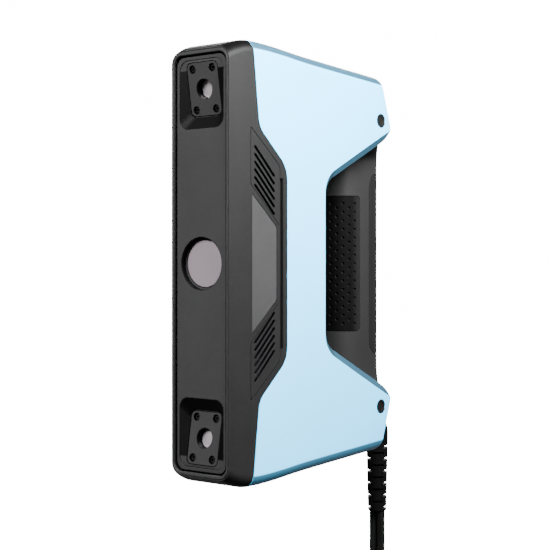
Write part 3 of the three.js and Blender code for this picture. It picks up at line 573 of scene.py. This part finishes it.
def plate_screw(x, z):
    """A small cap screw with a socket."""
    head = stack_y([(1, 1.5), (1.12, 1.72), (1.3, 1.8), (2.6, 1.8), (2.61, 1.0), (3.3, 1.0)], x, z, 40)
    socket = stack_y([(0.5, 0.95), (2.0, 0.95), (2.3, 0.2)], x, z, 6)
    return tilted(cut(head, socket))


def camera_window():
    return tilted(stack_y([(4.4, 5.15), (4.46, 5.33), (4.6, 5.4), (5.1, 5.4)], sides=72))


def projector_window():
    return stack_y([(5, 12.9), (5.08, 13.25), (5.3, 13.4), (6.6, 13.4)], sides=96)


# ---- The housing's sides -----------------------------------------------------------


def grille_outline(grow):
    front, rear = GRILLE["front"] - grow, GRILLE["rear"] + grow

    def height(line, depth, side):
        slope = (line[0] - line[1]) / (GRILLE["rear"] - GRILLE["front"])
        return line[0] - slope * (depth - GRILLE["front"]) + side * grow * math.hypot(1, slope)

    top, bottom = GRILLE["top"], GRILLE["bottom"]
    return outline([(front, height(top, front, 1), 1), (rear, height(top, rear, 1), 3),
                    (rear, height(bottom, rear, -1), 1), (front, height(bottom, front, -1), 1)])


def vent_slot(number):
    """A slanted slot with round ends, its middle line falling from front to rear."""
    fall = VENT_PITCH * number
    start, end = Vector((18.45, 65.95 - fall)), Vector((32.75, 50.15 - fall))
    along = (end - start).normalized()
    across = Vector((-along.y, along.x))
    points = []
    for centre, facing in ((end, 1), (start, -1)):
        for k in range(9):
            turn = math.pi * (k / 8 - 0.5)
            points.append(tuple(centre + 0.8 * facing * (along * math.cos(turn) + across * math.sin(turn))))
    return side_prism(points, 5, 60)


def vent_grille():
    skin = cut(common(envelope(0.05), side_prism(grille_outline(0), 5, 60)), envelope(1.8, WITHIN))
    return cut(skin, *[vent_slot(k) for k in range(6)])


def label_outline(grow):
    corners = mirrored([(34.9 + grow, 20.8 + grow, 1.2), (16.2 - grow, 39 + 1.4 * grow, 1.2)])
    return outline(corners[::-1])


def label_plate():
    return cut(common(envelope(0.1), side_prism(label_outline(0), 5, 60)), envelope(1.3, WITHIN))


def side_pockets():
    grille = cut(side_prism(grille_outline(GAP), 5, 60), envelope(1.8 + GAP, WITHIN))
    air = side_prism(grille_outline(-2), 5, 60)
    label = cut(side_prism(label_outline(GAP), 5, 60), envelope(1.6, WITHIN))
    slot = outline([(37.7, 49, 0.5), (40, 49, 0.5), (40, -49, 0.5), (37.7, -49, 0.5)], 5)
    return [*both(grille, 2), *both(air, 2), label, cut(side_prism(slot, 5, 60), envelope(2, WITHIN))]


def front_housing():
    collar = cut(envelope(0, [HOUSING_FRONT, 1, 2.5, 4, 6.4]), envelope(BEZEL_INSET - GAP, [-1, 0, 1.5]))
    opening = front_prism(inset_outline(BEZEL_HOLE, 0, 12), -1, 4.8)
    ledge = front_prism(rounded(17.9, 116.8, 4), -1, 20)
    collar = cut(collar, opening, ledge)
    back = [depth for depth in FINE if 6.4 < depth < 60]
    wall = cut(envelope(0, [6.4, *back, 60]), envelope(3.2, [5.4, *back, 61]))
    wall = common(union(collar, wall), side_prism(cover_front(0)))
    right = side_pockets()
    left = [copy_of(item, 0) for item in right]
    return cut(wall, *right, *left)


# ---- Behind the covers ---------------------------------------------------------------


def spine(inset):
    strip = side_prism([(-200, -200), (200, -200), (200, 200), (-200, 200)], -SPINE_HALF, SPINE_HALF)
    return common(cut(envelope(0), envelope(inset, WITHIN)), strip)


def beyond(depth):
    """Everything behind a depth."""
    return side_prism([(depth, -200), (depth + 200, -200), (depth + 200, 200), (depth, 200)], -100, 100)


def rear_housing():
    outer = union(envelope(2.3), spine(3))
    outer = cut(outer, side_prism(cover_front(COVER_GAP)), side_prism(waist(LIP["wide"] + GAP)),
                beyond(CHASSIS_REAR))
    inside = cut(envelope(4.8, WITHIN), side_prism(waist(LIP["wide"] + GAP + 2.5)),
                 beyond(CHASSIS_REAR - 2.5))
    return cut(outer, inside)


half_width, front_at, back_at = (smooth(HANDLE, column) for column in (1, 2, 3))
round_front, round_back = (smooth(HANDLE, column) for column in (4, 5))


def handle_ring(height, inset, around):
    """The handle's section: a superellipse, fuller in front than behind."""
    level = abs(height)
    wide, front, back = half_width(level), front_at(level), back_at(level)
    share = min(max((wide - 18) / 6, 0), 1)
    middle = front + 22 - 6 * share * share * (3 - 2 * share)
    ring = []
    for k in range(around):
        angle = 2 * math.pi * (k + 0.5) / around
        c, s = math.cos(angle), math.sin(angle)
        power = 2 / (round_front(level) if s < 0 else round_back(level))
        deep = (middle - front if s < 0 else back - middle) - inset
        x = (wide - inset) * math.copysign(abs(c) ** power, c)
        ring.append((x, middle + deep * math.copysign(abs(s) ** power, s), height))
    return ring


def handle_form(inset, around=112):
    upper = [20, 40, 56, *[58 + 2 * k for k in range(20)], 98, 103, 108, 114.2]
    heights = sorted([-h for h in upper] + [0] + upper)
    return loft([handle_ring(h - math.copysign(inset, h) * (abs(h) > 110), inset, around) for h in heights])


def grip_outline(grow):
    return outline(mirrored([(136 + grow, 43 + grow, 3), (90, 43 + grow, 0)])[::-1])


def rear_cover_outline(grow):
    return outline(mirrored([(200, 58.5 + grow, 0), (146 - grow, 58.5 + grow, 11)])[::-1], 16)


def handle_frame():
    pad = cut(side_prism(grip_outline(GAP)), handle_form(1.8))
    inlay = cut(side_prism(rear_cover_outline(GAP)), handle_form(2.3))
    cavity = side_prism([(134, -50), (200, -50), (200, 50), (134, 50)], -10.5, 10.5)
    lips = cut(side_prism(waist(LIP["wide"] + GAP)), envelope(LIP["deep"] + GAP))
    gland = stack_y([(141, 9.8), (200, 9.8)], 0, BOOT["z"])
    form = cut(common(handle_form(0), envelope(2.3)), pad, inlay, cavity, lips, gland)
    join = CHASSIS_REAR + GAP
    ahead = [(-200, -200), (join, -200), (join, 200), (-200, 200)]
    strips = cut(spine(6), side_prism(ahead, -99, 99), beyond(138))
    return union(form, strips)


def dimples():
    """Staggered rows of small hollows over the front of the grip pad."""
    ring = [Vector(point[:2]) for point in handle_ring(0, 0, 720)]
    front = [point for point in ring if point.y < DIMPLES["middle"]]
    front.sort(key=lambda point: math.atan2(point.x, DIMPLES["middle"] - point.y))
    length, spots = 0.0, []
    for a, b in zip(front, front[1:]):
        length += (b - a).length
        spots.append((length, (a + b) / 2, (b - a).normalized()))
    centre = length / 2
    rings, faces = [], []
    for column in range(-5, 6):
        away = DIMPLES["apart"] * column
        _, place, along = min(spots, key=lambda spot: abs(spot[0] - centre - away))
        outward = Vector((along.y, -along.x))
        rows = 15 if column % 2 == DIMPLES["phase"] else 14
        for row in range(rows):
            z = DIMPLES["rise"] * (row - (rows - 1) / 2)
            start = len(rings)
            for depth, radius in ((0.5, 1.25), (0.0, 1.0), (-0.5, 0.85), (-0.85, 0.45)):
                for k in range(12):
                    a = math.pi * k / 6
                    spot = place + outward * depth + along * radius * math.cos(a)
                    rings.append((spot.x, spot.y, z + radius * math.sin(a)))
            for r in range(3):
                for k in range(12):
                    i, j = start + r * 12 + k, start + r * 12 + (k + 1) % 12
                    faces.append([i, j, j + 12, i + 12])
            faces.append([start + k for k in range(12)])
            faces.append([start + 47 - k for k in range(12)])
    return solid(rings, faces)


def grip_pad():
    pad = cut(common(handle_form(0), side_prism(grip_outline(0))), handle_form(1.5))
    return cut(pad, dimples())


def rear_cover():
    skin = cut(common(handle_form(0), side_prism(rear_cover_outline(0))), handle_form(2))
    holes = [stack_y([(150, radius + GAP), (180, radius + GAP)], 0, z) for z, radius in BUTTONS.values()]
    return cut(skin, *holes, stack_y([(150, 1.9), (180, 1.9)], 0, STATUS_LIGHT_Z, 32))


def button(name):
    """A round key with a dished top and its generic mark."""
    z, radius = BUTTONS[name]
    stem = [(160.6, radius + 1), (161.9, radius + 1), (161.9, radius), (166.6, radius),
            (166.95, radius - 0.18), (167.15, radius - 0.5), (167.2, radius - 0.9),
            (167.05, radius - 1.6), (166.9, radius * 0.3)]
    key = stack_y(stem, 0, z)
    marks = {"plus_button": [(4.2, 0.9), (0.9, 4.2)], "minus_button": [(4.2, 0.9)], "scan_button": []}[name]
    for wide, tall in marks:
        key = cut(key, block(wide, 1, tall, (0, 167.15, z), 0.4))
    if name == "scan_button":
        ring = cut(stack_y([(166.75, 3.6), (168, 3.6)], 0, z), stack_y([(166, 2.9), (169, 2.9)], 0, z))
        key = cut(key, ring)
    return key


def status_light():
    return stack_y([(161.2, 1.6), (165.8, 1.6), (166.0, 1.45), (166.1, 1.1)], 0, STATUS_LIGHT_Z, 40)


# ---- The strain relief -----------------------------------------------------------------


def sector(a0, a1, r0, r1, z0, z1):
    """Part of a ring round the boot's vertical axis."""
    angles = [a0 + (a1 - a0) * k / 12 for k in range(13)]
    flat = [(r1 * math.cos(a), r1 * math.sin(a)) for a in angles]
    flat += [(r0 * math.cos(a), r0 * math.sin(a)) for a in reversed(angles)]
    return [[(x, BOOT["depth"] + y, z) for x, y in flat] for z in (z0, z1)]


def boot():
    bend, end = BOOT["bend"], BOOT["end"]
    top = BOOT["z"] - bend
    z_rows = [end, end + 0.5, end + 1.2] + [end + (top - end) * k / 10 for k in range(1, 11)]
    rings = []
    for z in z_rows:
        share = (z - end) / (top - end)
        radius = BOOT["tip"] + (BOOT["radius"] - BOOT["tip"]) * share - max(0, 1.2 - (z - end)) ** 2 * 0.6
        rings.append([(x, BOOT["depth"] + y, z) for x, y in circle(radius, sides=64)])
    taper = loft(rings)
    elbow = [(Vector((0, BOOT["start"], BOOT["z"])), 0)]
    for k in range(13):
        turn = math.radians(90 * k / 12)
        depth, z = BOOT["depth"] - bend + bend * math.sin(turn), BOOT["z"] - bend + bend * math.cos(turn)
        elbow.append((Vector((0, depth, z)), turn))
    elbow.append((Vector((0, BOOT["depth"], top - 1)), math.pi / 2))
    rings = []
    for centre, turn in elbow:
        up = Vector((0, math.sin(turn), math.cos(turn)))
        ring = []
        for k in range(64):
            a = 2 * math.pi * k / 64
            across = Vector((BOOT["radius"] * math.cos(a), 0, 0))
            ring.append(tuple(centre + across + up * BOOT["radius"] * math.sin(a)))
        rings.append(ring)
    whole = union(loft(rings), taper)
    slots = []
    for k in range(1, 7):
        z = BOOT_SLOTS["top"] - BOOT_SLOTS["pitch"] * k
        for side in (0, math.pi):
            turn = BOOT_TURN + side
            slots.append(loft(sector(turn - 0.95, turn + 0.95, 4.2, 9, z - 0.8, z + 0.8)))
        for side in (math.pi / 2, -math.pi / 2):
            turn = BOOT_TURN + side
            slots.append(loft(sector(turn - 0.6, turn + 0.6, 4.6, 9, z + 3.4, z + 4.8)))
    return cut(whole, *slots)


# ---- Cables ------------------------------------------------------------------------------


def through(points, spacing=2.5):
    """Points along a smooth line through the given ones."""
    knots = [Vector(point) for point in points]
    knots = [knots[0] * 2 - knots[1], *knots, knots[-1] * 2 - knots[-2]]
    line = []
    for a, b, c, d in zip(knots, knots[1:], knots[2:], knots[3:]):
        steps = max(2, round((c - b).length / spacing))
        for k in range(steps):
            t = k / steps
            bend = (2 * a - 5 * b + 4 * c - d) * t * t
            line.append(0.5 * (2 * b + (c - a) * t + bend + (3 * b - a - 3 * c + d) * t ** 3))
    return [*line, knots[-2]]


def turns(order, first, last, steps=40):
    """Points of a coil: a turn in each (radius, height) of order, easing over to the next one."""
    points = []
    count = math.ceil((last - first) / 360 * steps)
    for k in range(count + 1):
        angle = first + (last - first) * k / count
        turn = min(max((angle - 180) / 360, 0), len(order) - 1e-6)
        i, share = int(turn), turn % 1
        ease = min(max((share - 0.72) / 0.28, 0), 1)
        ease = ease * ease * (3 - 2 * ease) if i + 1 < len(order) else 0
        nxt = order[min(i + 1, len(order) - 1)]
        radius, z = (a + (b - a) * ease for a, b in zip(order[i], nxt))
        a = math.radians(angle)
        points.append((COIL["x"] + radius * math.cos(a), COIL["y"] + radius * math.sin(a), z))
    return points


def cable(name, points, nodes):
    curve = bpy.data.curves.new(name, "CURVE")
    curve.dimensions = "3D"
    curve.bevel_depth = CABLE_D / 2 * MM
    curve.bevel_resolution = 7
    curve.use_fill_caps = True
    line = curve.splines.new("POLY")
    line.points.add(len(points) - 1)
    for spot, point in zip(line.points, points):
        spot.co = (*[value * MM for value in point], 1)
    line.use_smooth = True
    made = bpy.data.objects.new(name, curve)
    bpy.context.scene.collection.objects.link(made)
    curve.materials.append(LOOK["cable"])
    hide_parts(*nodes)
    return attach(made, BODY)


OUTER, MID, INNER = 36.8, 31.0, 25.2
USB_ORDER = [(OUTER, -249.1), (MID, -249.1), (INNER, -249.1), (INNER, -243.3), (INNER, -237.5),
             (MID, -237.5), (MID, -243.3), (OUTER, -243.3), (OUTER, -237.5)]
POWER_ORDER = [(OUTER, -219.8), (OUTER, -225.6), (MID, -225.6), (MID, -219.8), (INNER, -219.8),
               (INNER, -225.6), (INNER, -231.4), (MID, -231.4), (OUTER, -231.4)]
usb_line = through([(-2.9, 38, -167.9), (-2.9, 38, -186), (-2.9, 38, -205), (-2.9, 37.5, -224),
                    (-2.9, 34.7, -236.6), (-2.9, 29.3, -243.9), (-2.9, 21.6, -248), (-2.9, 13, -249.1),
                    (-2.9, 0, -249.1)])
usb_line += [Vector(p) for p in turns(USB_ORDER, 180, 180 + 9 * 360)]
usb_line += through([(-2.9, -18, -238.2), (-2.95, -26, -239.6), (-3, -34.6, -241.6), (-3.3, -42, -244.6),
                     (-4.6, -52, -248.8), (-5.7, -61, -250.6), (-6, -66, -250.8), (-6, -69, -250.8)])
power_line = through([(2.9, 38, -167.9), (2.9, 38, -180), (2.9, 37.8, -194), (2.9, 35.2, -206),
                      (2.9, 29.5, -214.4), (2.5, 22, -218.6), (1.7, 15, -219.7), (-0.2, 6, -219.8)])
power_line += [Vector(p) for p in turns(POWER_ORDER, 165, 215 + 9 * 360)]
power_line += through([(8, -39.6, -231.8), (13, -47.5, -232.6), (17.6, -55.2, -233.6), (22, -63, -238),
                       (26, -72, -244), (29.6, -81, -248.8), (32.2, -89, -250.7), (33, -95, -250.8),
                       (33, -98, -250.8)])
IN_ROW_FRAME = Matrix.Scale(MM, 4)


def overmould(rings, sides=10):
    """A moulded plug body through (depth, half width, half height, radius) rows, along -Y."""
    return [[(x, y, z) for x, z in rounded(w, h, r, steps=sides)] for y, w, h, r in rings]


def usb_plug():
    grip = loft(overmould([(0, 3.4, 3.4, 3.3), (-4, 3.6, 3.5, 3.4), (-6.5, 6.2, 3.7, 2.6), (-9, 7.5, 3.8, 2.2),
                           (-20, 7.8, 3.8, 2.0), (-32.5, 7.8, 3.8, 2.0), (-33.6, 7.4, 3.5, 1.8), (-34, 6.9, 3.1, 1.6)]))
    ribs = [block(3.2, 0.9, 1.2, (side * 7.9, -12 - 2.4 * k, 0)) for k in range(5) for side in (-1, 1)]
    grip = cut(grip, *ribs)
    shell = loft(overmould([(-33.8, 6, 2.25, 0.7), (-46.1, 6, 2.25, 0.7), (-46.3, 5.85, 2.1, 0.6)]))
    hollow = loft(overmould([(-35, 5.65, 1.9, 0.4), (-47, 5.65, 1.9, 0.4)]))
    windows = [block(2.1, 2.4, 6, (side * 2.9, -41, 0)) for side in (-1, 1)]
    shell = cut(shell, hollow, *windows)
    tongue = loft(overmould([(-34.5, 5.3, 0.9, 0.2), (-45.2, 5.3, 0.9, 0.2)]))
    tongue.data.transform(Matrix.Translation((0, 0, -0.95)))
    return grip, shell, tongue


def power_plug():
    grip = stack_y([(-30, 4.5), (-29.4, 5.0), (-28, 5.2), (-9, 5.2), (-8, 5.0), (-6, 4.5), (-1, 4.1), (0, 3.6)])
    rings = [cut(stack_y([(y - 0.5, 6), (y + 0.5, 6)]), stack_y([(y - 1, 4.75), (y + 1, 4.75)]))
             for y in (-12, -15, -18, -21)]
    grip = cut(grip, *rings)
    barrel = cut(stack_y([(-40, 2.6), (-39.8, 2.75), (-29.5, 2.75)]), stack_y([(-41, 1.2), (-31, 1.2)]))
    return grip, barrel


def strap():
    """The tie round both coils: a loop with rounded corners."""
    nearest, outer, half_tall = math.sqrt(22.2 ** 2 - 25), 39.7, 17.4
    middle, centre_z = COIL["x"] + (nearest + outer) / 2, -252 + half_tall + GAP / 2
    half_x, half_z = (outer - nearest) / 2 + GAP, half_tall + GAP
    loop = [rounded(half_x + grow, half_z + grow, 2 + grow, centre_z) for grow in (1.15, 0)]
    band = cut(front_prism(loop[0], -5, 5), front_prism(loop[1], -9, 9))
    band.data.transform(Matrix.Translation((middle, COIL["y"], 0)))
    return band


# ---- Building the object ---------------------------------------------------------------------

usb_grip, usb_shell, usb_tongue = usb_plug()
usb_at = IN_ROW_FRAME @ Matrix.Translation((-6, -69.3, FLOOR + 4))
finish_piece(usb_grip, "usb_plug_body", ["usb_plug"], "rubber", transform=usb_at)
finish_piece(usb_shell, "usb_plug_shell", [], "plug", transform=usb_at)
finish_piece(usb_tongue, "usb_plug_tongue", [], "black", transform=usb_at)
power_grip, power_barrel = power_plug()
power_at = IN_ROW_FRAME @ Matrix.Translation((33, -98.3, FLOOR + 5.3))
finish_piece(power_grip, "power_plug_body", ["power_plug"], "rubber", transform=power_at)
finish_piece(power_barrel, "power_plug_barrel", [], "plug", transform=power_at)
tie = finish_piece(strap(), "cable_strap", ["cable_tie"], "tie", transform=IN_ROW_FRAME)

usb = cable("usb_lead", usb_line, ["usb_cable", "usb_cable_coil", "usb_cable_tail"])
power = cable("power_lead", power_line, ["power_cable", "power_cable_coil", "power_cable_tail"])

finish_piece(front_bezel(), "bezel_ring", ["front_bezel"], "bezel")
finish_piece(front_panel(), "panel_face", ["front_panel"], "panel")
finish_piece(front_housing(), "housing_shell", ["front_housing"], "black")
finish_piece(projector_window(), "projector_glass", ["projector_window"], "glass")

for side, mirror in (("upper", None), ("lower", 2)):
    finish_piece(copy_of(camera_plate(), mirror), f"{side}_plate", [f"{side}_camera_plate"], "panel")
    finish_piece(copy_of(camera_window(), mirror), f"{side}_glass", [f"{side}_camera_window"], "lens")
    for number, (x, z) in enumerate(SCREWS, 1):
        screw = copy_of(plate_screw(x, z), mirror)
        finish_piece(screw, f"{side}_screw_{number}", [f"{side}_plate_screw_{number}"], "steel")
for stray in [item for item in bpy.data.objects if item.name.startswith("solid")]:
    bpy.data.objects.remove(stray)

grille, plug_cap, cover_shell, label = vent_grille(), cover_cap(), cover(), label_plate()
side_pieces = ((grille, "vents", "grille", "vent"), (plug_cap, "cap", "cover_cap", "cap"))
for hand, across in (("right", None), ("left", 0)):
    for side, mirror in (("upper", None), ("lower", 2)):
        for source, name, node, look in side_pieces:
            shape = copy_of(source, mirror)
            if across is not None:
                shape = copy_of(shape, across)
            finish_piece(shape, f"{hand}_{side}_{name}", [f"{hand}_{side}_{node}"], look)
    finish_piece(copy_of(cover_shell, across), f"{hand}_shell", [f"{hand}_cover"], "blue")
    finish_piece(copy_of(label, across), f"{hand}_plate", [f"{hand}_label_plate"], "grey")
for stray in [item for item in bpy.data.objects if item.name.startswith(("solid", "copy"))]:
    bpy.data.objects.remove(stray)

finish_piece(rear_housing(), "chassis", ["rear_housing"], "handle")
finish_piece(handle_frame(), "handle_shell", ["handle_frame"], "handle")
finish_piece(grip_pad(), "grip_cushion", ["grip_pad"], "pad")
finish_piece(rear_cover(), "handle_back", ["rear_handle_cover"], "recess")
for name in BUTTONS:
    finish_piece(button(name), f"{name}_key", [name], "grey", body=f"{name}_body")
finish_piece(status_light(), "status_lens", ["status_light"], "light")
finish_piece(boot(), "boot", ["cable_boot"], "rubber")

INSIDE = {
    "optical_frame": "aluminium", "projector_lens": "anodised", "projector_body": "anodised",
    "heat_sink": "aluminium", "fan_frame": "black", "fan_rotor": "black", "main_board": "board",
    "button_board": "board", "cable_gland": "black", "upper_camera_lens": "anodised",
    "lower_camera_lens": "anodised", "upper_camera_body": "anodised", "lower_camera_body": "anodised",
}
for node_name, look in INSIDE.items():
    node = frame["nodes"][node_name]
    node.data.materials.clear()
    node.data.materials.append(LOOK[look])

# ---- The studio ------------------------------------------------------------------------------


GLOW = 20
GLOW_STARTS, GLOW_FULL = 0.275, 0.365


def studio_surface(name, tone):
    """A pale matt sheet with a faint mottle, plain under the object and glowing white away from it."""
    material, make, link, shader = graph(name)
    place = make("ShaderNodeTexCoord").outputs["Object"]
    mottle = make("ShaderNodeTexNoise", Scale=3.0, Detail=3.0)
    link(place, mottle.inputs["Vector"])
    shade = make("ShaderNodeValToRGB")
    shade.color_ramp.elements[0].color = (tone * 0.98, tone * 0.98, tone * 0.98, 1)
    shade.color_ramp.elements[1].color = (tone, tone, tone, 1)
    link(mottle.outputs["Fac"], shade.inputs["Fac"])
    link(shade.outputs["Color"], shader.inputs["Base Color"])
    link(shade.outputs["Color"], shader.inputs["Emission Color"])
    away = make("ShaderNodeVectorMath", _operation="LENGTH")
    link(place, away.inputs[0])
    glow = make("ShaderNodeMapRange", _interpolation_type="SMOOTHSTEP", From_Min=GLOW_STARTS,
                From_Max=GLOW_FULL, To_Max=GLOW)
    link(away.outputs["Value"], glow.inputs["Value"])
    link(glow.outputs["Result"], shader.inputs["Emission Strength"])
    shader.inputs["Roughness"].default_value = 0.9
    shader.inputs["Specular IOR Level"].default_value = 0.1
    return material


def studio():
    """A round floor that curves up into a wall without a seam, hidden from diffuse and glossy rays."""
    profile = [(radius, 0) for radius in (0.05, 0.2, 0.35, 0.6, 1.2, 3.0)]
    profile += [(3 + math.sin(math.radians(a)), 1 - math.cos(math.radians(a))) for a in range(6, 91, 6)]
    profile.append((4, 6))
    sides = 96
    points = [(x, y, FLOOR * MM + height) for radius, height in profile for x, y in circle(radius, sides=sides)]
    faces = [list(range(sides))]
    for ring in range(len(profile) - 1):
        for k in range(sides):
            here, after = ring * sides + k, ring * sides + (k + 1) % sides
            faces.append([here, here + sides, after + sides, after])
    mesh = bpy.data.meshes.new("studio")
    mesh.from_pydata(points, [], faces)
    mesh.shade_smooth()
    mesh.materials.append(studio_surface("studio", 0.8))
    made = bpy.data.objects.new("studio", mesh)
    made.visible_diffuse = made.visible_glossy = False
    bpy.context.scene.collection.objects.link(made)
    return made


studio()

world = bpy.data.worlds.new("studio")
bpy.context.scene.world = world
world.use_nodes = True
world.node_tree.nodes["Background"].inputs["Color"].default_value = (1, 1, 1, 1)
world.node_tree.nodes["Background"].inputs["Strength"].default_value = 0.35


def area_light(name, place, towards, size, power, spread=180):
    data = bpy.data.lights.new(name, "AREA")
    data.shape, data.size, data.size_y = "RECTANGLE", *size
    data.energy, data.spread = power, math.radians(spread)
    lamp = bpy.data.objects.new(name, data)
    lamp.location = place
    lamp.rotation_euler = (Vector(towards) - Vector(place)).to_track_quat("-Z", "Y").to_euler()
    lamp.visible_camera = False
    bpy.context.scene.collection.objects.link(lamp)


area_light("key", (0.3, -0.14, 0.26), (0.03, -0.1, 0), (0.24, 0.24), 15)
area_light("front", (-0.2, -1.5, 0.9), (0, -0.1, 0.08), (0.7, 0.7), 16, 50)
area_light("fill", (-1.0, 1.5, 0.5), (0, 0, 0), (1.0, 1.0), 60)
